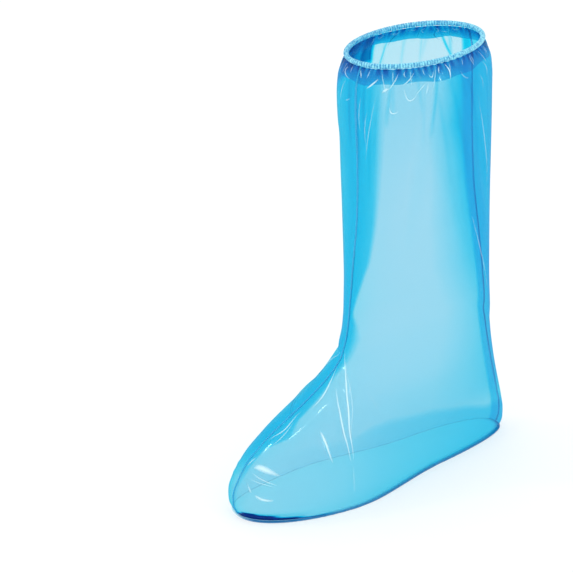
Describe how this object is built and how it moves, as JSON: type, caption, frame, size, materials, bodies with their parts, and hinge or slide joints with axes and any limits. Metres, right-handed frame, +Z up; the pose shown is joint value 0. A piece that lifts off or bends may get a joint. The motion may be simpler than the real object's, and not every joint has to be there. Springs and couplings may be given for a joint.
{
  "type": "shoe cover",
  "caption": "Knee-high disposable shoe cover of clear blue film, standing empty, with sealed front and back seams, a flat sole, a turned-in hem and a gathered elastic mouth.",
  "frame": {"origin": "on the floor under the middle of the cover's bounding box", "axes": "+Z up, +Y towards the heel and +X towards the wearer's left, so the toe points to -Y"},
  "size_m": [0.1291, 0.3543, 0.4696],
  "materials": {
    "blue_film": "smooth glossy translucent film",
    "sealed_seam": "heat-sealed double film",
    "hem_film": "second layer of the same film",
    "elastic_edge": "film puckered tightly over an elastic cord",
    "sole_film": "thicker translucent film"
  },
  "bodies": {
    "root": {"film_panel_left": "blue_film", "film_panel_right": "blue_film", "front_seam": "sealed_seam", "back_seam": "sealed_seam", "hem_facing": "hem_film", "elastic_rim": "elastic_edge", "sole": "sole_film"}
  },
  "joints": []
}
